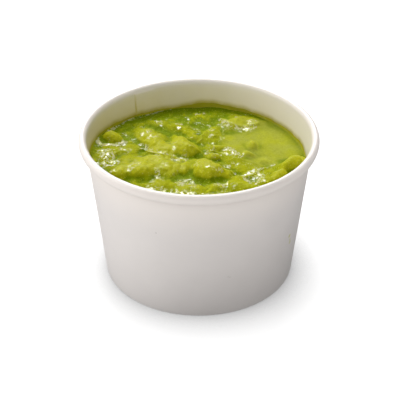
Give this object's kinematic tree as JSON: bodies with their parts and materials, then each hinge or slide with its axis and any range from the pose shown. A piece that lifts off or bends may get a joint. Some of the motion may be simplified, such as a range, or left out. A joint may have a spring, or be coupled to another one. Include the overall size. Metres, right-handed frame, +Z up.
{
  "type": "paper pot of mushy peas",
  "caption": "White paper take-away pot with a rolled rim and lapped side seam, filled with thick, lumpy green mushy peas to a little below the rim.",
  "frame": {"origin": "middle of the ring that the pot stands on, on the table", "axes": "+Z up out of the pot's mouth, +X to the right and +Y away from somebody who looks into the pot from the front"},
  "size_m": [0.0914, 0.0914, 0.059],
  "materials": {
    "white_board": "smooth white board with a thin satin lining, stained yellow-green inside above the peas",
    "pot_base_board": "the same white board, matt on its underside",
    "pea_mash": "wet, slightly translucent yellow-green mash with glossy skins"
  },
  "bodies": {
    "root": {"pot_wall": "white_board", "pot_bottom": "pot_base_board", "mushy_peas": "pea_mash"}
  },
  "joints": []
}
